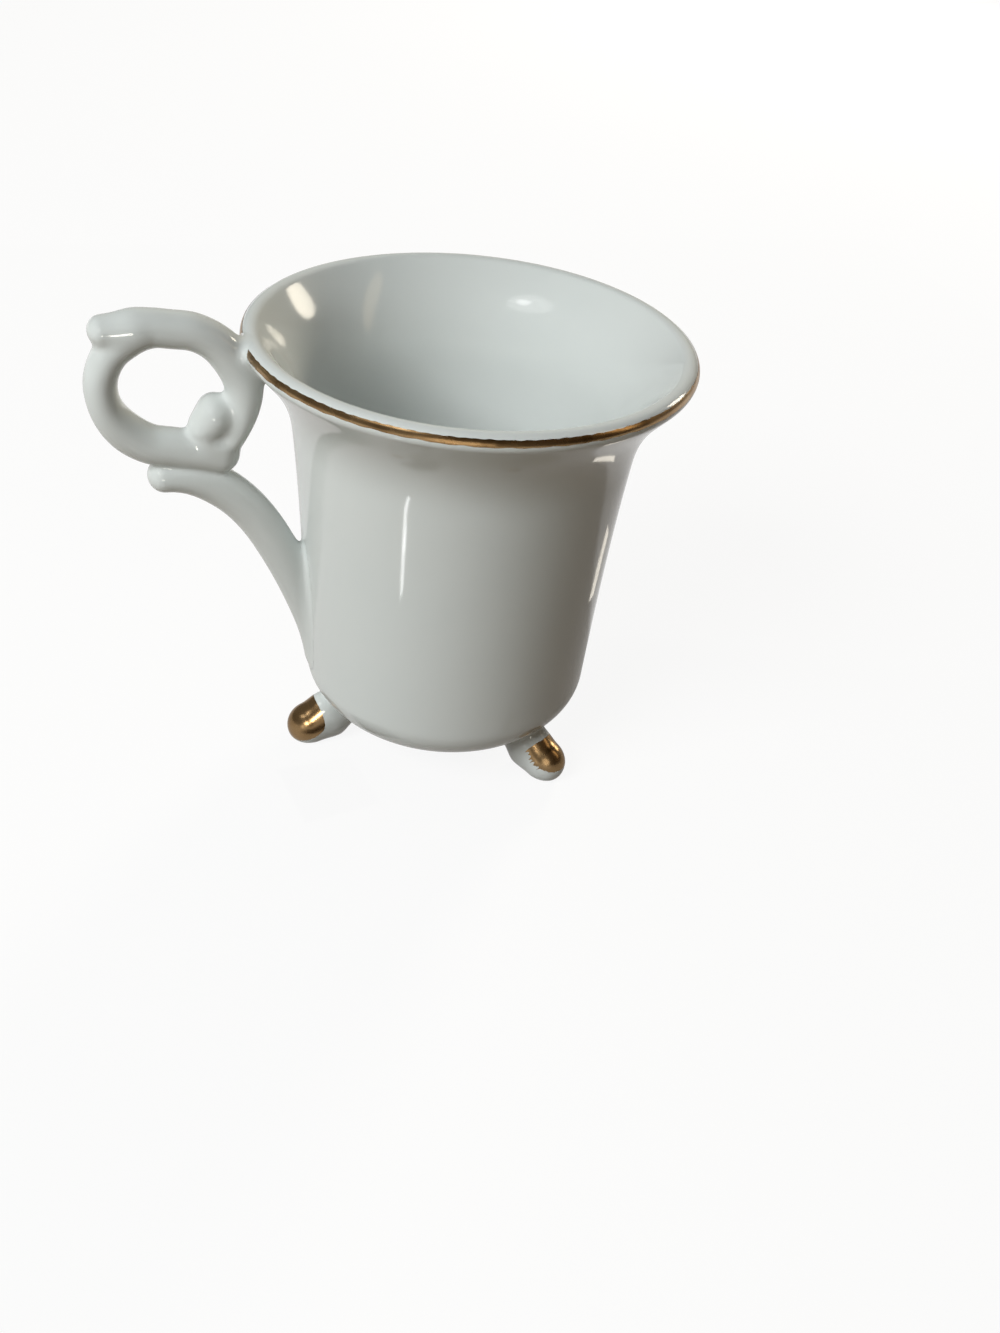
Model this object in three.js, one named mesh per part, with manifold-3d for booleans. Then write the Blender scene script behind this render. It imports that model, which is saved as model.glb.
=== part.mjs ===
// A footed porcelain mug: a bell-mouthed cup on three toe feet, with a scrolled handle,
// a gold line round the lip and gilded toes.
// Millimetres, +Z up. The cup's axis is modelled at the origin with the handle towards -X,
// and the finished mug is then moved so that its footprint is centred on the origin.

import * as THREE from 'three';
import { mergeVertices } from 'three/addons/utils/BufferGeometryUtils.js';
import Module from 'manifold-3d';

const wasm = await Module();
wasm.setup();

// Cup: sizes of the outside, measured from the cup's axis and from the standing surface
const RIM_RADIUS = 42;
const RIM_HEIGHT = 90;
const LIP_RADIUS = 1.9;         // rounding of the lip, half of its thickness
const FLARE_DEPTH = 20;         // from the top of the lip down to where the wall turns outwards
const FLARE_LEAN = 40;          // degrees from upright of the wall just under the lip
const WAIST_RADIUS = 32.8;      // where the flare starts
const WAIST_LEAN = 6;           // degrees from upright where the flare starts
const BASE_RADIUS = 29.7;       // where the wall runs into the rounded base
const BASE_LEAN = 2;            // degrees from upright there
const CORNER_REACH = 18.6;      // rounded base, inwards from the wall to the flat underside
const CORNER_RISE = 12;         // rounded base, from the flat underside up to the wall
const BASE_CLEARANCE = 6;       // flat underside above the standing surface
const WALL = 3.2;
const FLOOR = 4;

// Hollow that the casting draws inside the wall, behind the handle's upper joint
const HOLLOW_DEPTH = 1.5;
const HOLLOW_WIDTH = 8.5;
const HOLLOW_HEIGHT = 9;
const HOLLOW_DROP = 7.5;        // centre of the hollow below the top of the lip

// Handle: a finger ring of two scrolls, on a strut that runs down into the wall
const RING_RADIUS = 11.5;       // middle of the bar, so the finger hole is one bar smaller
const LIMB_OFFSET = 0.7;        // middle of the bar beside the cup, outside the rim
const RING_DROP = 9.3;          // centre of the ring below the top of the lip
const BAR_HALF_WIDTH = 3.7;     // every scroll, across the handle's own plane
const CROWN_SINK = 0.3;         // top of the ring inside the ring's circle
const ARM_HALF_HEIGHT = 3.55;   // upper scroll along the top of the ring, in that plane
const LIMB_HALF_HEIGHT = 3.5;   // upper scroll beside the cup
const LIMB_SWELL = 1.2;         // the limb leaves the ring's circle by this before it curls
const SWELL_ANGLE = 140;        // where it starts to leave the circle, round the ring from straight outwards
const LIMB_ANGLE = 198;         // where it leaves the ring for the curl
const THUMB_LENGTH = 10.9;      // thumb rest, outwards from the top of the ring
const THUMB_ARCH = 0.55;        // its middle above the top of the ring
const THUMB_HALF_HEIGHT = 2.6;
const THUMB_HALF_WIDTH = 3.2;
const OUTER_HALF_HEIGHT = 2.9;  // outer scroll, at its side
const BELLY_HALF_HEIGHT = 3.6;  // outer scroll, at the bottom of the ring
const OUTER_BULGE = 0.75;       // outer scroll outside the ring's circle, under the thumb rest
const BELLY_TUCK = 0.3;         // outer scroll inside the ring's circle, at the bottom
const OUTER_FROM = 62;          // start of the outer scroll round the ring
const BULGE_ANGLE = 20;         // all of the bulge above this angle
const BELLY_ANGLE = -60;        // all of the tuck below this one
const VOLUTE_ANGLE = 223;       // place of the upper scroll's curl round the ring, from straight outwards
const VOLUTE_TUCK = 0.9;        // centre of the curl inside the ring's circle
const VOLUTE_RADIUS = 3;
const VOLUTE_HALF_HEIGHT = 2.5;
const CURL_FROM = 195;          // start of the curl round its own centre
const CURL_TO = 355;
const KNOB_HALF_LENGTH = 3.4;   // round knob that ends the curl, outwards
const KNOB_HALF_HEIGHT = 4;
const KNOB_HALF_WIDTH = 4.3;
const KNOB_ANGLE = 70;          // centre of the knob round the curl, from straight outwards
const KNOB_TUCK = 0.8;          // the same centre inside the curl's circle
const STRUT_KICK = 2.4;         // leaf tip of the strut, outside the centre of the ring
const CREASE_SINK = 1.1;        // how far the ring sinks into the strut's leaf tip
const STRUT_TIP_HALF_HEIGHT = 3;
const STRUT_HALF_HEIGHT = 3.8;
const STRUT_END_HEIGHT = 21;    // where the strut runs out into the wall
const STRUT_END_HALF_HEIGHT = 2.6;
const STRUT_END_HALF_WIDTH = 2.8;
const STRUT_LEAD = 14.5;        // run of the strut towards the cup before it turns down
const STRUT_RISE = 0.5;         // its rise in that run
const STRUT_FALL = 26;          // steep run of the strut along the wall
const STRUT_LEAN = 6;           // how far it comes in over that run
const STRUT_END_SINK = 2.1;     // middle of its lower end inside the wall's outer face

// Feet: three stubby toes, one of them under the handle
const FOOT_ANGLES = { under_handle: 180, front_right: 300, back_right: 60 };
const FEET_TURN = 4.5;          // degrees that all three stand turned from the handle's plane
const FOOT_SHIFTS = { under_handle: 0.5, front_right: -0.4, back_right: 0 };  // outwards, as set by hand
const TOE_HALF_HEIGHT = 4.5;
const TOE_HALF_WIDTH = 4.1;
const TOE_INSET = 0.5;          // centre of the toe's round end inside the cup's base
const PAD_DEPTH = 1.4;          // ground off the sole, for a flat pad to stand on
const FOOT_ROOT_HALF_HEIGHT = 6.3;
const FOOT_ROOT_HALF_WIDTH = 4.8;
const FOOT_ROOT_INSET = 8.2;    // middle of the root inside the cup's base
const FOOT_ROOT_RISE = 2;       // the same above the flat underside

// Gold lustre, drawn as a thin shell that stands just off the glaze
const GOLD = 0.25;
const GOLD_CLEARANCE = 0.1;
const LIP_GOLD_FROM = 3;        // degrees round the lip's rounding, from straight outwards
const LIP_GOLD_TO = 42;
const TOE_GOLD_LENGTH = 2.3;    // edge of the toe's gold behind the centre of its round end
const TOE_GOLD_LEAN = 14;       // degrees from upright of that edge
const TOE_GOLD_HEIGHT = 2.2;    // lowest gold above the standing surface

const LUTE_GAP = 0.3;           // joint between the cup and what is stuck to it

// How far each end of a wall curve holds its lean, as a share of the curve's rise
const WALL_HOLD = 0.3;
const WAIST_HOLD = 0.53;
const LIP_HOLD = 0.28;

// Fineness
const TURN_STEPS = 60;
const BAR_SIDES = 14;
const DOME_STEPS = 4;

const porcelain = () => new THREE.MeshStandardMaterial({ color: 0xd9dcd8, roughness: 0.12, metalness: 0 });
const gold = () => new THREE.MeshStandardMaterial({ color: 0xb98a45, roughness: 0.2, metalness: 1 });

const radians = THREE.MathUtils.degToRad;
const blend = THREE.MathUtils.lerp;
const ease = THREE.MathUtils.smoothstep;
const upright = (x, z) => new THREE.Vector3(x, 0, z);

// A step of a length in a direction, in degrees from straight outwards
function towards(angle, length) {
  return new THREE.Vector2(Math.cos(radians(angle)), Math.sin(radians(angle))).multiplyScalar(length);
}

// Points for evenly spaced angles, each put in place by a function
function fan(from, to, steps, place) {
  return Array.from({ length: steps + 1 }, (_, step) => place(blend(from, to, step / steps)));
}

// A size along a bar, smooth between a few stops given as [place from 0 to 1, size]
function taper(...stops) {
  return (at) => {
    const next = Math.max(1, stops.findIndex(([place]) => place >= at));
    const [from, low] = stops[next - 1];
    const [to, high] = stops[next];
    return blend(low, high, ease(at, from, to));
  };
}

// Solids for joining and cutting

function solidOf(geometry) {
  const bare = new THREE.BufferGeometry();
  bare.setAttribute('position', geometry.attributes.position);
  bare.setIndex(geometry.index);
  const welded = mergeVertices(bare, 1e-4);
  const corners = welded.index.array;
  const triVerts = [];
  for (let i = 0; i < corners.length; i += 3) {
    const [a, b, c] = corners.slice(i, i + 3);
    const hasArea = a !== b && b !== c && c !== a;
    if (hasArea) {
      triVerts.push(a, b, c);
    }
  }
  return new wasm.Manifold(new wasm.Mesh({
    numProp: 3,
    vertProperties: new Float32Array(welded.attributes.position.array),
    triVerts: new Uint32Array(triVerts),
  }));
}

function meshOf(name, solid, material) {
  const { vertProperties, triVerts } = solid.getMesh();
  const geometry = new THREE.BufferGeometry();
  geometry.setAttribute('position', new THREE.BufferAttribute(vertProperties, 3));
  geometry.setIndex(new THREE.BufferAttribute(triVerts, 1));
  geometry.computeVertexNormals();
  const mesh = new THREE.Mesh(geometry, material);
  mesh.name = name;
  return mesh;
}

// A profile of radius and height, turned round the upright axis
function turned(profile) {
  const geometry = new THREE.LatheGeometry(profile, TURN_STEPS);
  geometry.rotateX(Math.PI / 2);
  return solidOf(geometry);
}

// A bar along a curve in the upright XZ plane, with an oval section and rounded ends.
// halfHeight and halfWidth give the section in that plane and across it, for 0 to 1 along the curve.
function sweptBar(curve, halfHeight, halfWidth, steps) {
  const positions = [];
  const addRing = (centre, tangent, high, wide) => {
    for (let side = 0; side < BAR_SIDES; side += 1) {
      const turn = (2 * Math.PI * side) / BAR_SIDES;
      const lift = high * Math.cos(turn);
      positions.push(
        centre.x - tangent.z * lift,
        -wide * Math.sin(turn),
        centre.z + tangent.x * lift,
      );
    }
  };
  const addDomeRing = (at, sink, direction) => {
    const tangent = curve.getTangentAt(at);
    const high = halfHeight(at) * Math.cos(sink);
    const wide = halfWidth(at) * Math.cos(sink);
    const reach = direction * halfHeight(at) * Math.sin(sink);
    addRing(curve.getPointAt(at).addScaledVector(tangent, reach), tangent, high, wide);
  };
  const domeStep = Math.PI / 2 / DOME_STEPS;
  for (let step = DOME_STEPS - 1; step > 0; step -= 1) {
    addDomeRing(0, step * domeStep, -1);
  }
  for (let step = 0; step <= steps; step += 1) {
    addDomeRing(step / steps, 0, 1);
  }
  for (let step = 1; step < DOME_STEPS; step += 1) {
    addDomeRing(1, step * domeStep, 1);
  }

  const rings = positions.length / 3 / BAR_SIDES;
  const startPole = rings * BAR_SIDES;
  const endPole = startPole + 1;
  const start = curve.getPointAt(0).addScaledVector(curve.getTangentAt(0), -halfHeight(0));
  const end = curve.getPointAt(1).addScaledVector(curve.getTangentAt(1), halfHeight(1));
  positions.push(...start.toArray(), ...end.toArray());

  const corners = [];
  for (let side = 0; side < BAR_SIDES; side += 1) {
    const next = (side + 1) % BAR_SIDES;
    corners.push(startPole, next, side);
    for (let ring = 0; ring < rings - 1; ring += 1) {
      const here = ring * BAR_SIDES;
      const there = here + BAR_SIDES;
      corners.push(here + side, here + next, there + side);
      corners.push(here + next, there + next, there + side);
    }
    const last = (rings - 1) * BAR_SIDES;
    corners.push(endPole, last + side, last + next);
  }
  const geometry = new THREE.BufferGeometry();
  geometry.setAttribute('position', new THREE.Float32BufferAttribute(positions, 3));
  geometry.setIndex(corners);
  return solidOf(geometry);
}

// Cup

const lipCentre = new THREE.Vector2(RIM_RADIUS - LIP_RADIUS, RIM_HEIGHT - LIP_RADIUS);
const flareHeight = RIM_HEIGHT - FLARE_DEPTH;
const cornerTop = BASE_CLEARANCE + CORNER_RISE;
const underRadius = BASE_RADIUS - CORNER_REACH;

const lipPoint = (angle, grow = 0) => lipCentre.clone().add(towards(angle, LIP_RADIUS + grow));

// A smooth stretch of the wall between two points, each with its lean from upright
function wallStretch(low, lowLean, lowHold, high, highLean, highHold) {
  const rise = high.y - low.y;
  return new THREE.CubicBezierCurve(
    low,
    low.clone().add(towards(90 - lowLean, rise * lowHold)),
    high.clone().sub(towards(90 - highLean, rise * highHold)),
    high,
  );
}

// The outside from the axis up to the lip, or the same grown outwards by a gap
function outsideProfile(grow = 0) {
  const base = new THREE.Vector2(BASE_RADIUS + grow, cornerTop);
  const waist = new THREE.Vector2(WAIST_RADIUS + grow, flareHeight);
  const corner = new THREE.EllipseCurve(
    underRadius, cornerTop, CORNER_REACH + grow, CORNER_RISE + grow, -Math.PI / 2, 0,
  );
  const lip = lipPoint(-FLARE_LEAN, grow);
  const wall = wallStretch(base, BASE_LEAN, WALL_HOLD, waist, WAIST_LEAN, WALL_HOLD);
  const flare = wallStretch(waist, WAIST_LEAN, WAIST_HOLD, lip, FLARE_LEAN, LIP_HOLD);
  return [
    new THREE.Vector2(0, BASE_CLEARANCE - grow),
    ...corner.getPoints(7),
    ...wall.getPoints(4).slice(1),
    ...flare.getPoints(7).slice(1),
  ];
}

// The lip's rounding between two angles, or the same grown outwards
function lipProfile(from, to, steps, grow = 0) {
  return fan(from, to, steps, (angle) => lipPoint(angle, grow));
}

// The inside from the lip down to the axis
function insideProfile() {
  const waist = new THREE.Vector2(WAIST_RADIUS - WALL, flareHeight);
  const base = new THREE.Vector2(BASE_RADIUS - WALL, cornerTop);
  const lip = lipPoint(180 - FLARE_LEAN);
  const flare = wallStretch(waist, WAIST_LEAN, WAIST_HOLD, lip, FLARE_LEAN, LIP_HOLD);
  const wall = wallStretch(base, BASE_LEAN, WALL_HOLD, waist, WAIST_LEAN, WALL_HOLD);
  const corner = new THREE.EllipseCurve(
    underRadius, cornerTop, CORNER_REACH - WALL, CORNER_RISE - FLOOR, -Math.PI / 2, 0,
  );
  return [
    ...flare.getPoints(6).reverse().slice(1),
    ...wall.getPoints(3).reverse().slice(1),
    ...corner.getPoints(6).reverse().slice(1),
    new THREE.Vector2(0, BASE_CLEARANCE + FLOOR),
  ];
}

// Radius of a profile at a height, between its two nearest points
function radiusAt(profile, height) {
  const upper = profile.findIndex((point) => point.y > height);
  const low = profile[upper - 1];
  const high = profile[upper];
  return THREE.MathUtils.mapLinear(height, low.y, high.y, low.x, high.x);
}

function cup() {
  const body = turned([
    ...outsideProfile(),
    ...lipProfile(-FLARE_LEAN, 180 - FLARE_LEAN, 8).slice(1),
    ...insideProfile(),
  ]);
  const height = RIM_HEIGHT - HOLLOW_DROP;
  const inside = insideProfile().reverse();
  const hollow = new THREE.SphereGeometry(1, 16, 12);
  hollow.scale(HOLLOW_DEPTH, HOLLOW_WIDTH / 2, HOLLOW_HEIGHT / 2);
  hollow.translate(-radiusAt(inside, height), 0, height);
  return body.subtract(solidOf(hollow));
}

// Everything inside the cup's outer surface, grown by the luting gap
function cupSpace() {
  const lip = lipProfile(-FLARE_LEAN, 90, 6, LUTE_GAP).slice(1);
  const top = new THREE.Vector2(0, RIM_HEIGHT + LUTE_GAP);
  return turned([...outsideProfile(LUTE_GAP), ...lip, top]);
}

// Handle, modelled towards +X and turned to its side of the cup at the end

const ringCentre = upright(RIM_RADIUS + LIMB_OFFSET + RING_RADIUS, RIM_HEIGHT - RING_DROP);
const ringTop = ringCentre.clone().add(upright(0, RING_RADIUS - CROWN_SINK));
const ringBottom = ringCentre.clone().add(upright(0, -RING_RADIUS));

function onCircle(centre, radius, angle) {
  const step = towards(angle, radius);
  return centre.clone().add(upright(step.x, step.y));
}

const volute = onCircle(ringCentre, RING_RADIUS - VOLUTE_TUCK, VOLUTE_ANGLE);
const onVolute = (angle) => onCircle(volute, VOLUTE_RADIUS, angle);
const along = (points) => new THREE.CatmullRomCurve3(points, false, 'centripetal');

// From the thumb rest over the ring, down beside the cup and into the curl
function upperScroll() {
  const limb = (angle) => {
    const sink = blend(-CROWN_SINK, 0, ease(angle, 90, SWELL_ANGLE));
    const swell = LIMB_SWELL * ease(angle, SWELL_ANGLE, LIMB_ANGLE);
    return onCircle(ringCentre, RING_RADIUS + sink + swell, angle);
  };
  const path = along([
    ringTop.clone().add(upright(THUMB_LENGTH, 0)),
    ringTop.clone().add(upright(THUMB_LENGTH / 2, THUMB_ARCH)),
    ...fan(90, LIMB_ANGLE, 5, limb),
    ...fan(CURL_FROM, CURL_TO, 4, onVolute),
  ]);
  const halfHeight = taper(
    [0, THUMB_HALF_HEIGHT],
    [0.2, ARM_HALF_HEIGHT],
    [0.35, ARM_HALF_HEIGHT],
    [0.5, LIMB_HALF_HEIGHT],
    [0.6, LIMB_HALF_HEIGHT],
    [0.85, VOLUTE_HALF_HEIGHT],
    [1, VOLUTE_HALF_HEIGHT],
  );
  const halfWidth = taper([0, THUMB_HALF_WIDTH], [0.2, BAR_HALF_WIDTH], [1, BAR_HALF_WIDTH]);
  return sweptBar(path, halfHeight, halfWidth, 40);
}

// From under the thumb rest round the outside and the bottom of the ring, to a collar under the curl
function outerScroll() {
  const side = (angle) => {
    const stray = blend(-BELLY_TUCK, OUTER_BULGE, ease(angle, BELLY_ANGLE, BULGE_ANGLE));
    return onCircle(ringCentre, RING_RADIUS + stray, angle);
  };
  const collar = volute.clone().add(upright(0, -VOLUTE_RADIUS - VOLUTE_HALF_HEIGHT));
  const path = along([...fan(OUTER_FROM, -90, 6, side), collar]);
  const halfHeight = taper(
    [0, ARM_HALF_HEIGHT],
    [0.2, OUTER_HALF_HEIGHT],
    [0.35, OUTER_HALF_HEIGHT],
    [0.6, BELLY_HALF_HEIGHT],
    [1, BELLY_HALF_HEIGHT],
  );
  return sweptBar(path, halfHeight, () => BAR_HALF_WIDTH, 28);
}

function knob() {
  const ball = new THREE.SphereGeometry(1, 16, 10);
  ball.scale(KNOB_HALF_LENGTH, KNOB_HALF_WIDTH, KNOB_HALF_HEIGHT);
  const place = onCircle(volute, VOLUTE_RADIUS - KNOB_TUCK, KNOB_ANGLE);
  ball.translate(place.x, place.y, place.z);
  return solidOf(ball);
}

// From its leaf tip under the ring, down to where it runs out into the wall
function strut() {
  const drop = BELLY_HALF_HEIGHT + STRUT_TIP_HALF_HEIGHT - CREASE_SINK;
  const tip = ringBottom.clone().add(upright(STRUT_KICK, BELLY_TUCK - drop));
  const wall = radiusAt(outsideProfile(), STRUT_END_HEIGHT);
  const end = upright(wall - STRUT_END_SINK, STRUT_END_HEIGHT);
  const path = new THREE.CubicBezierCurve3(
    tip,
    tip.clone().add(upright(-STRUT_LEAD, STRUT_RISE)),
    end.clone().add(upright(STRUT_LEAN, STRUT_FALL)),
    end,
  );
  const halfHeight = taper(
    [0, STRUT_TIP_HALF_HEIGHT],
    [0.2, STRUT_HALF_HEIGHT],
    [0.45, STRUT_HALF_HEIGHT],
    [1, STRUT_END_HALF_HEIGHT],
  );
  const halfWidth = taper([0, BAR_HALF_WIDTH], [0.5, BAR_HALF_WIDTH], [1, STRUT_END_HALF_WIDTH]);
  return sweptBar(path, halfHeight, halfWidth, 24);
}

function handle() {
  return upperScroll()
    .add(outerScroll())
    .add(knob())
    .add(strut())
    .subtract(cupSpace());
}

// Feet, modelled towards +X and turned to their places at the end

const toeAt = (shift) => upright(BASE_RADIUS - TOE_INSET + shift, TOE_HALF_HEIGHT - PAD_DEPTH);
const rootAt = (shift) => upright(BASE_RADIUS - FOOT_ROOT_INSET + shift, BASE_CLEARANCE + FOOT_ROOT_RISE);

function footBar(shift, grow = 0) {
  const halfHeight = (at) => blend(FOOT_ROOT_HALF_HEIGHT, TOE_HALF_HEIGHT, at) + grow;
  const halfWidth = (at) => blend(FOOT_ROOT_HALF_WIDTH, TOE_HALF_WIDTH, at) + grow;
  return sweptBar(new THREE.LineCurve3(rootAt(shift), toeAt(shift)), halfHeight, halfWidth, 6);
}

// A block larger than any foot
function block() {
  const size = 2 * RIM_RADIUS;
  return new THREE.BoxGeometry(size, size, size);
}

function allAbove(height) {
  const space = block();
  space.translate(0, 0, height + RIM_RADIUS);
  return solidOf(space);
}

// All that lies outwards of a leaning face through a point
function allBeyond(point, lean) {
  const space = block();
  space.translate(RIM_RADIUS, 0, 0);
  space.rotateY(radians(lean));
  space.translate(point.x, point.y, point.z);
  return solidOf(space);
}

function foot(shift) {
  return footBar(shift).intersect(allAbove(0)).subtract(cupSpace());
}

function toeGold(shift) {
  const edge = toeAt(shift).add(upright(-TOE_GOLD_LENGTH, 0));
  return footBar(shift, GOLD_CLEARANCE + GOLD)
    .subtract(footBar(shift, GOLD_CLEARANCE))
    .intersect(allBeyond(edge, TOE_GOLD_LEAN))
    .intersect(allAbove(TOE_GOLD_HEIGHT))
    .subtract(cupSpace());
}

// The gold line is a ring round the lip that stops on both sides of the handle
function lipGold() {
  const inner = lipProfile(LIP_GOLD_FROM, LIP_GOLD_TO, 5, GOLD_CLEARANCE);
  const outer = lipProfile(LIP_GOLD_FROM, LIP_GOLD_TO, 5, GOLD_CLEARANCE + GOLD);
  const ring = turned([...outer, ...inner.reverse(), outer[0]]);
  const opening = new THREE.BoxGeometry(RIM_RADIUS, 2 * (BAR_HALF_WIDTH + LUTE_GAP), RIM_RADIUS);
  opening.translate(-RIM_RADIUS, 0, RIM_HEIGHT);
  return ring.subtract(solidOf(opening));
}

// Assembly

const mug = new THREE.Group();
mug.add(meshOf('cup_body', cup(), porcelain()));
mug.add(meshOf('rim_gilding', lipGold(), gold()));

const handleSide = new THREE.Group();
handleSide.rotation.z = Math.PI;
handleSide.add(meshOf('handle', handle(), porcelain()));
mug.add(handleSide);

for (const [place, angle] of Object.entries(FOOT_ANGLES)) {
  const side = new THREE.Group();
  side.rotation.z = radians(angle + FEET_TURN);
  side.add(meshOf(`foot_${place}`, foot(FOOT_SHIFTS[place]), porcelain()));
  side.add(meshOf(`toe_gilding_${place}`, toeGold(FOOT_SHIFTS[place]), gold()));
  mug.add(side);
}

// The origin is the middle of the footprint, on the standing surface
const footprint = new THREE.Box3().setFromObject(mug, true);
const middle = footprint.getCenter(new THREE.Vector3());
mug.position.set(-middle.x, -middle.y, -footprint.min.z);

export default mug;
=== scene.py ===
import math

import bpy
import numpy as np
from mathutils import Matrix, Vector


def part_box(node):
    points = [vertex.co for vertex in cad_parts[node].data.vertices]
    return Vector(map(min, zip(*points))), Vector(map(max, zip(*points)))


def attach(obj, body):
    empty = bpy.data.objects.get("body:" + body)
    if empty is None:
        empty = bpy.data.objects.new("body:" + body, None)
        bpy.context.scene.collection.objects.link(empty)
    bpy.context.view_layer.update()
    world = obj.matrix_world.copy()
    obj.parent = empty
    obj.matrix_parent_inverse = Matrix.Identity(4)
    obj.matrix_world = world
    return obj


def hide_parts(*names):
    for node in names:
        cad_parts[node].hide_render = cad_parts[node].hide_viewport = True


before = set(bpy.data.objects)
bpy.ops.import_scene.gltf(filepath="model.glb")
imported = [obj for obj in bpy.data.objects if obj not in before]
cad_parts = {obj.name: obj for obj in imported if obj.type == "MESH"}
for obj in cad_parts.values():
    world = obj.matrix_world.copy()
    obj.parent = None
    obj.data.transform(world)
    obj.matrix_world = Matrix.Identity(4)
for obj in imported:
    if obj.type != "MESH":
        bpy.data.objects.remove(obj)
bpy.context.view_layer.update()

# Sizes in millimetres, as in the CAD source, apart from the feet, the upper scroll's arm and the thumb rest's
# width, which follow the photograph more closely here. Meshes are scaled to metres when they are made.
MM = 0.001
RIM_RADIUS, RIM_HEIGHT, LIP_RADIUS = 42.0, 90.0, 1.9
FLARE_DEPTH, FLARE_LEAN = 20.0, 40.0
WAIST_RADIUS, WAIST_LEAN = 32.8, 6.0
BASE_RADIUS, BASE_LEAN = 29.7, 2.0
CORNER_REACH, CORNER_RISE, BASE_CLEARANCE = 18.6, 12.0, 6.0
WALL, FLOOR = 3.2, 4.0
HOLLOW_DEPTH, HOLLOW_WIDTH, HOLLOW_HEIGHT, HOLLOW_DROP = 1.5, 8.5, 9.0, 7.5
WALL_HOLD, WAIST_HOLD, LIP_HOLD = 0.3, 0.53, 0.28

RING_RADIUS, LIMB_OFFSET, RING_DROP, CROWN_SINK = 11.5, 0.7, 9.3, 0.3
BAR_HALF_WIDTH, ARM_HALF_HEIGHT, LIMB_HALF_HEIGHT, LIMB_SWELL = 3.7, 3.25, 3.5, 1.2
SWELL_ANGLE, LIMB_ANGLE = 140.0, 198.0
THUMB_LENGTH, THUMB_ARCH, THUMB_HALF_HEIGHT, THUMB_HALF_WIDTH = 10.9, 0.55, 2.6, 3.5
OUTER_HALF_HEIGHT, BELLY_HALF_HEIGHT, OUTER_BULGE, BELLY_TUCK = 2.9, 3.6, 0.75, 0.3
OUTER_FROM, BULGE_ANGLE, BELLY_ANGLE = 62.0, 20.0, -60.0
VOLUTE_ANGLE, VOLUTE_TUCK, VOLUTE_RADIUS, VOLUTE_HALF_HEIGHT = 223.0, 0.9, 3.0, 2.5
CURL_FROM, CURL_TO = 195.0, 355.0
KNOB_HALF_LENGTH, KNOB_HALF_HEIGHT, KNOB_HALF_WIDTH = 3.4, 4.0, 4.3
KNOB_ANGLE, KNOB_TUCK = 70.0, 0.8
STRUT_KICK, CREASE_SINK, STRUT_TIP_HALF_HEIGHT, STRUT_HALF_HEIGHT = 2.4, 1.1, 3.0, 3.8
STRUT_END_HEIGHT, STRUT_END_HALF_HEIGHT, STRUT_END_HALF_WIDTH = 21.0, 2.6, 2.8
STRUT_LEAD, STRUT_RISE, STRUT_FALL, STRUT_LEAN, STRUT_END_SINK = 14.5, 0.5, 26.0, 6.0, 2.1

FOOT_ANGLES = {"under_handle": 184.5, "front_right": 305.3, "back_right": 64.5}
FOOT_SHIFTS = {"under_handle": 0.45, "front_right": -0.9, "back_right": 0.0}
TOE_HALF_HEIGHT, TOE_HALF_WIDTH, TOE_INSET, PAD_DEPTH = 4.9, 4.05, 0.4, 1.4
FOOT_ROOT_HALF_HEIGHT, FOOT_ROOT_HALF_WIDTH = 4.3, 3.2
FOOT_WAIST_HALF_HEIGHT, FOOT_WAIST_HALF_WIDTH = 5.8, 4.1
FOOT_ROOT_INSET, FOOT_ROOT_RISE = 8.6, 0.95
LIP_GOLD_FROM, LIP_GOLD_TO = 3.0, 42.0

# Fillets that the slip and the glaze leave, and the film of gold
LUTE_FILLET = 2.2
FOOT_FILLET = 1.6
KNOB_FILLET = 2.1
SCROLL_FILLET = 1.6
CREASE_FILLET = 0.9
SOLE_ROUND = 0.7
GOLD_FILM = 0.03

# Grid steps of the skins, how far past a fillet and past a bare toe they are looked for, and how far off the cup
# and off the handle a skin and the lip's gold start
HANDLE_STEP, FOOT_STEP, GOLD_STEP = 0.4, 0.3, 0.14
FILLET_MARGIN, TOE_MARGIN = 0.8, 0.4
CLEAR_OF_CUP, CLEAR_OF_HANDLE = 0.004, 0.9

# Points across the flat floor, and steps round the cup and round the lip's gold
FLOOR_POINTS, CUP_STEPS, LIP_GOLD_STEPS = 8, 288, 900

cup_low, cup_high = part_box("cup_body")
AXIS_X = (cup_low.x + cup_high.x) / 2 / MM


# Curves

def smooth(x, a, b):
    t = np.clip((x - a) / (b - a), 0, 1)
    return t * t * (3 - 2 * t)


def taper(at, *stops):
    """A size along a bar, smooth between stops of (place from 0 to 1, size)."""
    at = np.asarray(at, float)
    size = np.full(at.shape, stops[0][1], float)
    for (a, p), (b, q) in zip(stops, stops[1:]):
        size = np.where(at >= a, p + (q - p) * smooth(at, a, b), size)
    return size


def polar(angle, length):
    return np.array([math.cos(math.radians(angle)), math.sin(math.radians(angle))]) * length


def bezier(a, b, c, d, count):
    t = np.linspace(0, 1, count + 1)[:, None]
    return (1 - t) ** 3 * a + 3 * (1 - t) ** 2 * t * b + 3 * (1 - t) * t ** 2 * c + t ** 3 * d


def even(points, count):
    """The same line with its points spaced evenly."""
    length = np.r_[0, np.cumsum(np.linalg.norm(np.diff(points, axis=0), axis=1))]
    at = np.linspace(0, length[-1], count + 1)
    return np.stack([np.interp(at, length, points[:, k]) for k in range(points.shape[1])], 1)


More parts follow.
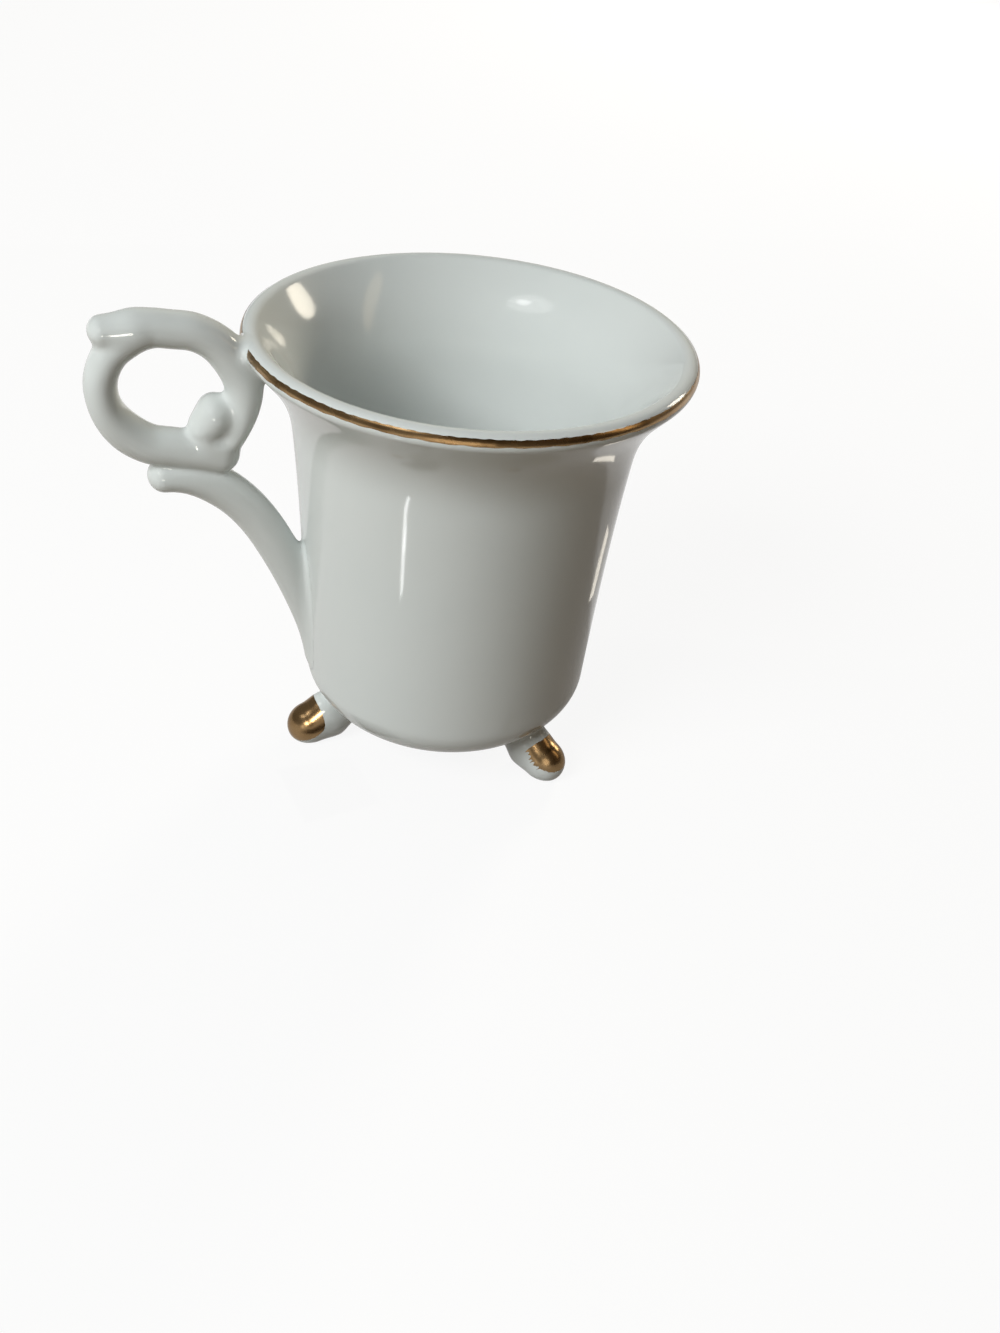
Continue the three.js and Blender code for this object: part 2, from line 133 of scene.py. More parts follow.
def through(points, count):
    """A smooth line through points, by centripetal Catmull-Rom."""
    p = np.array(points, float)
    p = np.vstack([2 * p[0] - p[1], p, 2 * p[-1] - p[-2]])
    line = []
    for i in range(1, len(p) - 2):
        knots = [0.0]
        for k in range(3):
            knots.append(knots[-1] + np.linalg.norm(p[i + k] - p[i + k - 1]) ** 0.5)
        t0, t1, t2, t3 = knots
        t = np.linspace(t1, t2, 24, endpoint=False)[:, None]
        a1 = (t1 - t) / (t1 - t0) * p[i - 1] + (t - t0) / (t1 - t0) * p[i]
        a2 = (t2 - t) / (t2 - t1) * p[i] + (t - t1) / (t2 - t1) * p[i + 1]
        a3 = (t3 - t) / (t3 - t2) * p[i + 1] + (t - t2) / (t3 - t2) * p[i + 2]
        b1 = (t2 - t) / (t2 - t0) * a1 + (t - t0) / (t2 - t0) * a2
        b2 = (t3 - t) / (t3 - t1) * a2 + (t - t1) / (t3 - t1) * a3
        line.append((t2 - t) / (t2 - t1) * b1 + (t - t1) / (t2 - t1) * b2)
    return even(np.vstack([*line, p[-2:-1]]), count)


# Cup profile, as (radius, height)

lip_centre = np.array([RIM_RADIUS - LIP_RADIUS, RIM_HEIGHT - LIP_RADIUS])
flare_height = RIM_HEIGHT - FLARE_DEPTH
corner_top = BASE_CLEARANCE + CORNER_RISE
under_radius = BASE_RADIUS - CORNER_REACH


def lip_arc(a, b, count):
    angle = np.radians(np.linspace(a, b, count + 1))
    return lip_centre + LIP_RADIUS * np.stack([np.cos(angle), np.sin(angle)], 1)


def wall_line(low, low_lean, low_hold, high, high_lean, high_hold, count):
    rise = high[1] - low[1]
    return bezier(low, low + polar(90 - low_lean, rise * low_hold),
                  high - polar(90 - high_lean, rise * high_hold), high, count)


def corner_line(reach, rise, count):
    angle = np.radians(np.linspace(-90, 0, count + 1))
    return np.stack([under_radius + reach * np.cos(angle), corner_top + rise * np.sin(angle)], 1)


def side_line(inset, floor_rise, lip_angle):
    """One face of the wall, from the axis up to the lip."""
    base = np.array([BASE_RADIUS - inset, corner_top])
    waist = np.array([WAIST_RADIUS - inset, flare_height])
    lip = lip_arc(lip_angle, lip_angle, 1)[0]
    corner = corner_line(CORNER_REACH - inset, CORNER_RISE - floor_rise, 26)
    floor_radius = np.linspace(0, under_radius, FLOOR_POINTS, endpoint=False)
    floor = np.stack([floor_radius, np.full(FLOOR_POINTS, corner[0, 1])], 1)
    return np.vstack([
        floor, corner[:-1],
        wall_line(base, BASE_LEAN, WALL_HOLD, waist, WAIST_LEAN, WALL_HOLD, 34)[:-1],
        wall_line(waist, WAIST_LEAN, WAIST_HOLD, lip, FLARE_LEAN, LIP_HOLD, 22)[:-1],
    ])


outside = side_line(0, 0, -FLARE_LEAN)
inside = side_line(WALL, FLOOR, 180 - FLARE_LEAN)[::-1]
lip = lip_arc(-FLARE_LEAN, 180 - FLARE_LEAN, 28)
profile = np.vstack([outside, lip, inside])


def outer_radius(z):
    """The cup's outer radius at a height above its flat underside."""
    return np.interp(z, outside[FLOOR_POINTS:, 1], outside[FLOOR_POINTS:, 0])


# Distances in millimetres, below zero inside the porcelain

def nearest(x, y, line, reach=0.0):
    """Distance from 2-D points to a line, with the place on it and the segment.

    Where two parts of a line compete, the one whose reach comes closest wins.
    """
    (ax, ay), (bx, by) = line[:-1].T, line[1:].T
    dx, dy = bx - ax, by - ay
    square = np.maximum(dx ** 2 + dy ** 2, 1e-12)
    reach = np.broadcast_to(reach, len(line))
    grow = reach[1:] - reach[:-1]
    found = [], [], []
    size = max(1, 200000 // len(dx))
    for first in range(0, len(x), size):
        px = x[first:first + size, None] - ax
        py = y[first:first + size, None] - ay
        t = np.clip((px * dx + py * dy) / square, 0, 1)
        d = np.sqrt((px - t * dx) ** 2 + (py - t * dy) ** 2)
        row = np.arange(len(d))
        near = (d - reach[:-1] - grow * t).argmin(1)[:, None] + np.arange(-2, 3)
        near = np.clip(near, 0, len(dx) - 1)
        i = near[row, d[row[:, None], near].argmin(1)]
        found[0].append(d[row, i])
        found[1].append(t[row, i])
        found[2].append(i)
    return [np.concatenate(part) for part in found]


def cup_distance(p):
    r, z = np.hypot(p[:, 0], p[:, 1]), p[:, 2]
    d, _, i = nearest(r, z, profile)
    along, away = profile[i + 1] - profile[i], np.stack([r, z], 1) - profile[i]
    return np.where(along[:, 1] * away[:, 0] > along[:, 0] * away[:, 1], d, -d)


def oval_distance(offset, across, high, wide):
    k0 = np.sqrt((offset / high) ** 2 + (across / wide) ** 2)
    k1 = np.sqrt((offset / high ** 2) ** 2 + (across / wide ** 2) ** 2)
    return np.where(k1 > 1e-9, k0 * (k0 - 1) / np.maximum(k1, 1e-9), -np.minimum(high, wide))


def bar_distance(p, bar, curled=True):
    """Distance to a bar of oval section along a line in the XZ plane."""
    line, high, wide = bar
    d, t, i = nearest(p[:, 0], p[:, 2], line, high if curled else 0.0)
    high = high[i] + (high[i + 1] - high[i]) * t
    wide = wide[i] + (wide[i + 1] - wide[i]) * t
    return oval_distance(d, p[:, 1], high, wide)


def join(a, b, fillet):
    """Distance to two solids together, with a fillet where they meet."""
    h = np.maximum(fillet - np.abs(a - b), 0) / fillet
    return np.minimum(a, b) - h * h * fillet / 4


# Handle, outwards along +X of its own frame

ring_centre = np.array([RIM_RADIUS + LIMB_OFFSET + RING_RADIUS, RIM_HEIGHT - RING_DROP])
ring_top = ring_centre + [0, RING_RADIUS - CROWN_SINK]
ring_bottom = ring_centre - [0, RING_RADIUS]
volute = ring_centre + polar(VOLUTE_ANGLE, RING_RADIUS - VOLUTE_TUCK)


def upper_scroll():
    def limb(a):
        sink = CROWN_SINK * (1 - float(smooth(a, 90, SWELL_ANGLE)))
        swell = LIMB_SWELL * float(smooth(a, SWELL_ANGLE, LIMB_ANGLE))
        return ring_centre + polar(a, RING_RADIUS - sink + swell)

    line = through([
        ring_top + [THUMB_LENGTH, 0],
        ring_top + [THUMB_LENGTH / 2, THUMB_ARCH],
        *[limb(a) for a in np.linspace(90, LIMB_ANGLE, 6)],
        *[volute + polar(a, VOLUTE_RADIUS) for a in np.linspace(CURL_FROM, CURL_TO, 5)],
    ], 72)
    at = np.linspace(0, 1, len(line))
    high = taper(at, (0, THUMB_HALF_HEIGHT), (0.2, ARM_HALF_HEIGHT), (0.35, ARM_HALF_HEIGHT),
                 (0.5, LIMB_HALF_HEIGHT), (0.6, LIMB_HALF_HEIGHT), (0.85, VOLUTE_HALF_HEIGHT),
                 (1, VOLUTE_HALF_HEIGHT))
    wide = taper(at, (0, THUMB_HALF_WIDTH), (0.2, BAR_HALF_WIDTH), (1, BAR_HALF_WIDTH))
    return line, high, wide


def outer_scroll():
    def side(a):
        stray = (OUTER_BULGE + BELLY_TUCK) * float(smooth(a, BELLY_ANGLE, BULGE_ANGLE)) - BELLY_TUCK
        return ring_centre + polar(a, RING_RADIUS + stray)

    line = through([
        *[side(a) for a in np.linspace(OUTER_FROM, -90, 7)],
        volute - [0, VOLUTE_RADIUS + VOLUTE_HALF_HEIGHT],
    ], 52)
    at = np.linspace(0, 1, len(line))
    high = taper(at, (0, ARM_HALF_HEIGHT), (0.2, OUTER_HALF_HEIGHT), (0.35, OUTER_HALF_HEIGHT),
                 (0.6, BELLY_HALF_HEIGHT), (1, BELLY_HALF_HEIGHT))
    return line, high, np.full(len(line), BAR_HALF_WIDTH)


def strut():
    drop = BELLY_HALF_HEIGHT + STRUT_TIP_HALF_HEIGHT - CREASE_SINK
    tip = ring_bottom + [STRUT_KICK, BELLY_TUCK - drop]
    end = np.array([outer_radius(STRUT_END_HEIGHT) - STRUT_END_SINK, STRUT_END_HEIGHT])
    line = even(bezier(tip, tip + [-STRUT_LEAD, STRUT_RISE], end + [STRUT_LEAN, STRUT_FALL], end, 120), 36)
    at = np.linspace(0, 1, len(line))
    high = taper(at, (0, STRUT_TIP_HALF_HEIGHT), (0.2, STRUT_HALF_HEIGHT), (0.45, STRUT_HALF_HEIGHT),
                 (1, STRUT_END_HALF_HEIGHT))
    wide = taper(at, (0, BAR_HALF_WIDTH), (0.5, BAR_HALF_WIDTH), (1, STRUT_END_HALF_WIDTH))
    return line, high, wide


upper_bar, outer_bar, strut_bar = upper_scroll(), outer_scroll(), strut()
knob_centre = volute + polar(KNOB_ANGLE, VOLUTE_RADIUS - KNOB_TUCK)


def knob_distance(p):
    q = p - [knob_centre[0], 0, knob_centre[1]]
    size = np.array([KNOB_HALF_LENGTH, KNOB_HALF_WIDTH, KNOB_HALF_HEIGHT])
    k0 = np.linalg.norm(q / size, axis=1)
    k1 = np.linalg.norm(q / size ** 2, axis=1)
    return k0 * (k0 - 1) / np.maximum(k1, 1e-9)


def bare_handle(p):
    d = join(bar_distance(p, upper_bar), bar_distance(p, outer_bar), SCROLL_FILLET)
    d = join(d, knob_distance(p), KNOB_FILLET)
    return join(d, bar_distance(p, strut_bar), CREASE_FILLET)


def handle_distance(p):
    return join(bare_handle(p), cup_distance(p), LUTE_FILLET)


# Feet, outwards along +X of their own frame

class Foot:
    """One foot, moved outwards by its own shift."""

    def __init__(self, shift):
        toe = np.array([BASE_RADIUS - TOE_INSET + shift, TOE_HALF_HEIGHT - PAD_DEPTH])
        root = np.array([BASE_RADIUS - FOOT_ROOT_INSET + shift, BASE_CLEARANCE + FOOT_ROOT_RISE])
        at = np.linspace(0, 1, 25)
        self.bar = (
            np.linspace(root, toe, len(at)),
            taper(at, (0, FOOT_ROOT_HALF_HEIGHT), (0.5, FOOT_WAIST_HALF_HEIGHT), (1, TOE_HALF_HEIGHT)),
            taper(at, (0, FOOT_ROOT_HALF_WIDTH), (0.5, FOOT_WAIST_HALF_WIDTH), (1, TOE_HALF_WIDTH)),
        )

    def bare(self, p):
        return -join(-bar_distance(p, self.bar, curled=False), p[:, 2], SOLE_ROUND)

    def distance(self, p):
        return join(self.bare(p), cup_distance(p), FOOT_FILLET)


# Surfaces from distances

def surface_nets(f, origin, step):
    """The surface where f is zero on a grid, as points and four-sided faces that look outwards."""
    below = f < 0
    cells = tuple(n - 1 for n in f.shape)
    total, count = np.zeros((*cells, 3)), np.zeros(cells)

    def corner(grid, d):
        return grid[tuple(slice(d[k], cells[k] + d[k]) for k in range(3))]

    for axis in range(3):
        u, v = [k for k in range(3) if k != axis]
        for i in (0, 1):
            for j in (0, 1):
                d0 = [0, 0, 0]
                d0[u], d0[v] = i, j
                d1 = list(d0)
                d1[axis] = 1
                a, b = corner(f, d0), corner(f, d1)
                cross = corner(below, d0) != corner(below, d1)
                t = np.where(cross, a / np.where(cross, a - b, 1), 0)
                count += cross
                for k in range(3):
                    total[..., k] += cross * (t if k == axis else d0[k])
    active = count > 0
    index = np.full(cells, -1)
    index[active] = np.arange(active.sum())
    points = origin + step * (np.argwhere(active) + total[active] / count[active][:, None])
    faces = []
    for axis in range(3):
        u, v = (axis + 1) % 3, (axis + 2) % 3
        first = [slice(None)] * 3
        second = [slice(None)] * 3
        first[axis], second[axis] = slice(0, -1), slice(1, None)
        edges = np.argwhere(below[tuple(first)] != below[tuple(second)])
        fits = (edges[:, u] > 0) & (edges[:, v] > 0) & (edges[:, u] < cells[u]) & (edges[:, v] < cells[v])
        edges = edges[fits]

        def cell(du, dv):
            q = edges.copy()
            q[:, u] -= du
            q[:, v] -= dv
            return index[q[:, 0], q[:, 1], q[:, 2]]

        quad = np.stack([cell(1, 1), cell(0, 1), cell(0, 0), cell(1, 0)], 1)
        out = below[edges[:, 0], edges[:, 1], edges[:, 2]]
        faces.append(np.where(out[:, None], quad, quad[:, ::-1]))
    return points, np.vstack(faces)


def slope(distance, p, step):
    """How fast a distance grows along each axis, from four points round each place."""
    corners = np.array([(1, -1, -1), (-1, -1, 1), (-1, 1, -1), (1, 1, 1)])
    return sum(distance(p + step * c)[:, None] * c for c in corners) / (4 * step)


def settle(distance, p, rounds=2):
    """Points moved onto the surface, with the surface's outward directions there."""
    for _ in range(rounds):
        g = slope(distance, p, 0.02)
        p = p - g * (distance(p) / np.maximum((g ** 2).sum(1), 0.05))[:, None]
    g = slope(distance, p, 0.08)
    return p, g / np.linalg.norm(g, axis=1)[:, None]


def finer(f, axis, times):
    """A grid with its steps along one axis divided, straight between the old values."""
    count = f.shape[axis]
    at = np.arange((count - 1) * times + 1) / times
    low = np.minimum(at.astype(int), count - 2)
    t = (at - low).reshape([-1 if k == axis else 1 for k in range(3)])
    return np.take(f, low, axis) * (1 - t) + np.take(f, low + 1, axis) * t


def skin(distance, lowest, highest, step, near):
    """The surface of a distance inside a box, where near says that it is wanted."""
    times = 4
    lowest = np.array(lowest, float)
    counts = np.ceil((np.array(highest) - lowest) / (step * times)).astype(int) + 1

    def places(shape, size):
        return lowest + np.stack(np.meshgrid(*[np.arange(n) for n in shape], indexing="ij"), -1) * size

    f = distance(places(counts, step * times).reshape(-1, 3)).reshape(counts)
    for axis in range(3):
        f = finer(f, axis, times)
    close = np.abs(f) < 2.2 * step * times
    f[close] = distance(lowest + np.argwhere(close) * step)
    p, faces = surface_nets(f, lowest, step)
    p, _, faces = only(p, p, faces, near(p))
    p, n = settle(distance, p)
    return p, n, faces


def only(p, n, faces, keep):
    """The faces whose points are all kept."""
    faces = faces[keep[faces].all(1)]
    used, faces = np.unique(faces, return_inverse=True)
    return p[used], n[used], faces.reshape(-1, 4)


# Blender pieces

def piece(name, p, faces, material, nodes, normals=None):
    """A mesh on the body root in place of CAD nodes, with points in the same place made one."""
    _, first, same = np.unique(np.round(p, 4), axis=0, return_index=True, return_inverse=True)
    welded = [list(dict.fromkeys(face)) for face in same.reshape(-1)[faces].tolist()]
    mesh = bpy.data.meshes.new(name)
    mesh.from_pydata((p[first] * MM).tolist(), [], [face for face in welded if len(face) > 2])
    mesh.validate()
    mesh.polygons.foreach_set("use_smooth", np.ones(len(mesh.polygons), bool))
    if normals is not None:
        mesh.normals_split_custom_set_from_vertices(normals[first].tolist())
    mesh.update()
    mesh.materials.append(material)
    o = bpy.data.objects.new(name, mesh)
    bpy.context.scene.collection.objects.link(o)
    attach(o, "root")
    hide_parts(*nodes)


def placed(p, angle):
    """Points of a frame that looks outwards along +X, turned to their place round the cup."""
    c, s = math.cos(math.radians(angle)), math.sin(math.radians(angle))
    return p @ np.array([[c, s, 0], [-s, c, 0], [0, 0, 1]]) + [AXIS_X, 0, 0]


def turned(p, angle):
    """Directions of such a frame, turned the same way."""
    return placed(p, angle) - [AXIS_X, 0, 0]


def grid_faces(rows, steps):
    """Four-sided faces between rows of points that each go once round."""
    i, j = np.meshgrid(np.arange(rows), np.arange(steps), indexing="ij")
    k = (j + 1) % steps
    faces = np.stack([i * steps + j, i * steps + k, (i + 1) * steps + k, (i + 1) * steps + j], -1)
    return faces.reshape(-1, 4)


def lathe(line, steps):
    """A line of (radius, height) turned round the axis: points by line then by angle, and faces."""
    angle = np.linspace(0, 2 * np.pi, steps, endpoint=False)
    p = np.stack([line[:, None, 0] * np.cos(angle), line[:, None, 0] * np.sin(angle),
                  np.repeat(line[:, None, 1], steps, 1)], -1)
    return p, grid_faces(len(line) - 1, steps)


# Materials

class Nodes:
    """A short way to write a node tree."""

    def __init__(self, name):
        self.material = bpy.data.materials.new(name)
        self.material.use_nodes = True
        self.tree = self.material.node_tree
        self.shader = self.tree.nodes["Principled BSDF"]

    def add(self, kind, **values):
        node = self.tree.nodes.new(kind)
        for key, value in values.items():
            setattr(node, key, value)
        return node

    def link(self, a, b):
        self.tree.links.new(a, b)

    def where(self):
        return self.add("ShaderNodeTexCoord").outputs["Object"]

    def noise(self, scale, detail=2.0):
        node = self.add("ShaderNodeTexNoise")
        node.inputs["Scale"].default_value = scale
        node.inputs["Detail"].default_value = detail
        node.inputs["Roughness"].default_value = 0.5
        self.link(self.where(), node.inputs["Vector"])
        return node.outputs["Fac"]

    def ramp(self, value, *stops):
        node = self.add("ShaderNodeValToRGB")
        ramp = node.color_ramp
        while len(ramp.elements) < len(stops):
            ramp.elements.new(0.5)
        for element, (at, colour) in zip(ramp.elements, stops):
            element.position = at
            element.color = (*colour, 1.0)
        self.link(value, node.inputs["Fac"])
        return node.outputs["Color"]

    def span(self, value, a, b, c, d):
        node = self.add("ShaderNodeMapRange")
        for key, x in zip(("From Min", "From Max", "To Min", "To Max"), (a, b, c, d)):
            node.inputs[key].default_value = x
        self.link(value, node.inputs["Value"])
        return node.outputs["Result"]

    def mix(self, share, a, b):
        node = self.add("ShaderNodeMix", data_type="RGBA")
        self.link(share, node.inputs["Factor"])
        first, second = [socket for socket in node.inputs if socket.type == "RGBA"]
        self.link(a, first)
        self.link(b, second)
        return [socket for socket in node.outputs if socket.type == "RGBA"][0]

    def calculate(self, operation, *values):
        node = self.add("ShaderNodeMath", operation=operation)
        for socket, value in zip(node.inputs, values):
            if isinstance(value, float):
                socket.default_value = value
            else:
                self.link(value, socket)
        return node.outputs["Value"]

    def surface(self, share, a, b):
        """A mix of two shaders as what the material shows."""
        node = self.add("ShaderNodeMixShader")
        self.link(share, node.inputs["Fac"])
        self.link(a, node.inputs[1])
        self.link(b, node.inputs[2])
        self.link(node.outputs["Shader"], self.tree.nodes["Material Output"].inputs["Surface"])

    def bump(self, height, strength, distance):
        node = self.add("ShaderNodeBump")
        node.inputs["Strength"].default_value = strength
        node.inputs["Distance"].default_value = distance
        self.link(height, node.inputs["Height"])
        self.link(node.outputs["Normal"], self.shader.inputs["Normal"])


def porcelain_material():
    m = Nodes("porcelain_glaze")
    body = m.ramp(m.noise(28.0, 3.0), (0.3, (0.690, 0.730, 0.722)), (0.7, (0.715, 0.748, 0.738)))
    m.link(body, m.shader.inputs["Base Color"])
    m.link(m.span(m.noise(60.0, 2.0), 0.3, 0.7, 0.06, 0.11), m.shader.inputs["Roughness"])
    m.shader.inputs["IOR"].default_value = 1.5
    m.shader.inputs["Specular IOR Level"].default_value = 0.4
    m.bump(m.noise(95.0, 1.0), 0.05, 0.001)
    return m.material


def gold_material():
    m = Nodes("gold_lustre")
    metal = m.ramp(m.noise(160.0, 3.0), (0.25, (0.20, 0.120, 0.052)), (0.5, (0.32, 0.205, 0.100)),
                   (0.8, (0.42, 0.290, 0.155)))
    m.link(metal, m.shader.inputs["Base Color"])
    m.shader.inputs["Metallic"].default_value = 1.0
    m.link(m.span(m.noise(420.0, 2.0), 0.3, 0.7, 0.22, 0.30), m.shader.inputs["Roughness"])
    m.bump(m.noise(240.0, 1.0), 0.01, 0.0003)
    return m.material


porcelain = porcelain_material()
gold = gold_material()


# Cup: a turned skin, with the hollow behind the handle's upper joint

cup_points, cup_faces = lathe(profile, CUP_STEPS)
hollow_height = RIM_HEIGHT - HOLLOW_DROP
is_inside = np.zeros(len(profile), bool)
is_inside[len(outside) + len(lip) // 2:] = True
across = cup_points[..., 1] / (HOLLOW_WIDTH / 2)
upward = (cup_points[..., 2] - hollow_height) / (HOLLOW_HEIGHT / 2)
sunk = np.clip(1 - (across ** 2 + upward ** 2) / 1.5, 0, 1) ** 2
sunk *= is_inside[:, None] & (cup_points[..., 0] < 0)
cup_points[..., 0] -= HOLLOW_DEPTH * sunk
cup_points = cup_points.reshape(-1, 3) + [AXIS_X, 0, 0]
piece("cup_porcelain", cup_points, cup_faces, porcelain, ["cup_body"])


# Handle and feet, with their fillets running out on the cup

def off_cup(p):
    """Where points stand clear of the cup's own face, on its outer side."""
    r, z = np.hypot(p[:, 0], p[:, 1]), p[:, 2]
    in_cup = (r < outer_radius(z) - WALL / 2) & (z > BASE_CLEARANCE + FLOOR / 2) & (z < flare_height)
    return (cup_distance(p) > CLEAR_OF_CUP) & ~in_cup


def at_handle(p):
    return bare_handle(p) < LUTE_FILLET + FILLET_MARGIN


def on_its_own(p, n, faces):
    """Only what stands clear of the cup's own face."""
    return only(p, n, faces, off_cup(p))


p, n, faces = skin(handle_distance, (27.0, -8.5, 14.0), (70.5, 8.5, 97.5), HANDLE_STEP, at_handle)
p, n, faces = on_its_own(p, n, faces)
piece("handle_porcelain", placed(p, 180), faces, porcelain, ["handle"], turned(n, 180))

feet = {place: Foot(shift) for place, shift in FOOT_SHIFTS.items()}
for place, foot in feet.items():
    p, n, faces = skin(foot.distance, (9.0, -9.0, -0.8), (36.0, 9.0, 16.0), FOOT_STEP,
                       lambda q: foot.bare(q) < FOOT_FILLET + FILLET_MARGIN)
    p, n, faces = on_its_own(p, n, faces)
    angle = FOOT_ANGLES[place]
    piece(f"foot_{place}_porcelain", placed(p, angle), faces, porcelain, [f"foot_{place}"],
          turned(n, angle))


# Gold

def wander(x, seed, waves):
    """A smooth uneven line between about -1 and 1, which whole waves close on itself over a turn."""
    return sum(math.sin(7.3 * seed + 2.1 * k) * np.sin(w * x + 1.7 * seed + 0.9 * k * k)
               for k, w in enumerate(waves)) / max(1.0, len(waves) ** 0.5)


def lip_gold():
    rows = 12
    angle = np.linspace(-np.pi, np.pi, LIP_GOLD_STEPS, endpoint=False)
    bottom = LIP_GOLD_FROM + 3.5 * wander(angle, 1, (5, 13, 37, 71, 113))
    top = LIP_GOLD_TO + 2.5 * wander(angle, 2, (3, 17, 43, 83, 127))
    at = np.linspace(0, 1, rows + 1)[:, None]
    round_lip = np.radians(bottom + (top - bottom) * at)
    r = lip_centre[0] + (LIP_RADIUS + GOLD_FILM) * np.cos(round_lip)
    z = lip_centre[1] + (LIP_RADIUS + GOLD_FILM) * np.sin(round_lip)
    p = np.stack([r * np.cos(angle), r * np.sin(angle), z], -1).reshape(-1, 3)
    off_handle = bare_handle(p * [-1, 1, 1]) > CLEAR_OF_HANDLE
    p, _, faces = only(p, p, grid_faces(rows, LIP_GOLD_STEPS), off_handle)
    return p, faces


rim_points, rim_faces = lip_gold()
piece("rim_gold", rim_points + [AXIS_X, 0, 0], rim_faces, gold, ["rim_gilding"])


def sole_left(reach):
    """Height of the gold's lower edge at a reach from the cup's axis, on the toe under the handle."""
    return np.interp(reach, (27.4, 27.9, 28.7, 30.0, 31.6, 33.5), (5.6, 4.2, 3.25, 2.45, 1.65, 1.2))


def sole_right(reach):
    """The same on the other toes, where more of the sole was left bare."""
    return 3.75 + 0.08 * np.clip(33.0 - reach, 0, None) ** 2


# For each toe: where the gold starts on top, how far its edge comes back at the sides, the depth of the
# brush's strokes, and the lower edge
TOE_GOLD = {
    "under_handle": (28.9, 1.3, 0.0, sole_left),
    "front_right": (28.2, 1.8, 1.1, sole_right),
    "back_right": (28.5, 1.5, 0.4, sole_right),
}


def toe_gold(place, seed):
    """The foot's own skin beyond a brushed edge."""
    foot = feet[place]
    start, back, depth, sole = TOE_GOLD[place]
    p, n, faces = skin(foot.distance, (24.0, -6.0, 0.4), (35.0, 6.0, 12.0), GOLD_STEP,
                       lambda q: foot.bare(q) < TOE_MARGIN)

    def beyond(q):
        side = (q[:, 1] / TOE_HALF_WIDTH) ** 2
        rear = q[:, 0] - (start - back * side)
        under = q[:, 2] - sole(q[:, 0]) - 0.1 * wander(q[:, 0], seed + 4, (2.3, 4.1, 7.7))
        along = 0.75 * q[:, 0] - 0.65 * q[:, 2]
        stroke = 1 - np.abs(np.sin(3.7 * along + 0.7 * wander(along, seed, (2.0, 3.1))))
        length = depth * (1 + 0.5 * wander(along, seed, (1.3, 2.9)))
        brushed = (1 - smooth(q[:, 0], 29.3, 30.8)) * smooth(-q[:, 1] / TOE_HALF_WIDTH, 0.3, 0.8)
        return join(rear, under, 0.8) + length * stroke * brushed

    gilt = beyond(p)
    faces = faces[(gilt > 0)[faces].any(1)]
    edge = np.zeros(len(p), bool)
    edge[faces] = True
    edge &= gilt < 0
    for _ in range(4):
        q = p[edge]
        g = slope(beyond, q, 0.02)
        g -= n[edge] * (g * n[edge]).sum(1)[:, None]
        p[edge] = q - g * np.clip(beyond(q) / np.maximum((g ** 2).sum(1), 0.05), -0.2, 0.2)[:, None]
    p[edge], n[edge] = settle(foot.distance, p[edge])
    used, faces = np.unique(faces, return_inverse=True)
    return p[used] + n[used] * GOLD_FILM, n[used], faces.reshape(-1, 4)


for seed, place in enumerate(FOOT_ANGLES):
    p, n, faces = toe_gold(place, seed + 1)
    angle = FOOT_ANGLES[place]
    piece(f"toe_gold_{place}", placed(p, angle), faces, gold, [f"toe_gilding_{place}"],
          turned(n, angle))


# Floor

# The floor lies a little under the feet, and the shades that stand in for a dim table lie just over it
FLOOR_HEIGHT, TABLE_HEIGHT, TOE_SHADE_HEIGHT = -0.1 * MM, -0.05 * MM, -0.03 * MM


def sheet(name, half):
    """A level square mesh round the origin."""
    mesh = bpy.data.meshes.new(name)
    corners = [(-half, -half, 0), (half, -half, 0), (half, half, 0), (-half, half, 0)]
    mesh.from_pydata(corners, [], [(0, 1, 2, 3)])
    return mesh


floor_mesh = sheet("floor", 8.0)
floor = bpy.data.objects.new("floor", floor_mesh)
floor.location.z = FLOOR_HEIGHT
bpy.context.scene.collection.objects.link(floor)

paper = Nodes("white_paper")
rays = paper.add("ShaderNodeLightPath")
bounced = paper.ramp(paper.noise(3.0, 2.0), (0.3, (0.30, 0.255, 0.20)), (0.7, (0.34, 0.29, 0.23)))
looked_at = paper.ramp(paper.noise(3.0, 2.0), (0.3, (0.89, 0.89, 0.88)), (0.7, (0.92, 0.92, 0.91)))
paper.link(paper.mix(rays.outputs["Is Camera Ray"], bounced, looked_at), paper.shader.inputs["Base Color"])
paper.shader.inputs["Roughness"].default_value = 0.9
glow = paper.add("ShaderNodeEmission")
seen = paper.calculate("MAXIMUM", rays.outputs["Is Camera Ray"], rays.outputs["Is Glossy Ray"])
seen = paper.calculate("MAXIMUM", seen, rays.outputs["Is Transmission Ray"])
glow_share = paper.calculate("MULTIPLY", seen, 0.9)
paper.surface(glow_share, paper.shader.outputs["BSDF"], glow.outputs["Emission"])
floor_mesh.materials.append(paper.material)


# World and lights

world = bpy.data.worlds.new("studio")
bpy.context.scene.world = world
world.use_nodes = True
sky = world.node_tree.nodes["Background"]
sky.inputs["Color"].default_value = (0.86, 0.835, 0.78, 1)
sky.inputs["Strength"].default_value = 0.28


def lamp(name, place, target, size, power, colour, lights=True, mirrored=True):
    """An oval lamp, which can be kept to lighting the set or to showing in the glaze and the gold."""
    data = bpy.data.lights.new(name, "AREA")
    data.shape = "ELLIPSE"
    data.size, data.size_y = size
    data.energy = power
    data.color = colour
    o = bpy.data.objects.new(name, data)
    o.location = place
    o.rotation_euler = (Vector(target) - Vector(place)).to_track_quat("-Z", "Y").to_euler()
    o.visible_camera = False
    o.visible_diffuse = lights
    o.visible_glossy = mirrored
    bpy.context.scene.collection.objects.link(o)


def dull(name, colour):
    """A matt uneven material and its tone."""
    stuff = Nodes(name)
    darker = tuple(0.8 * c for c in colour)
    tone = stuff.ramp(stuff.noise(6.0), (0.3, darker), (0.7, colour))
    stuff.link(tone, stuff.shader.inputs["Base Color"])
    stuff.shader.inputs["Roughness"].default_value = 0.9
    return stuff, tone


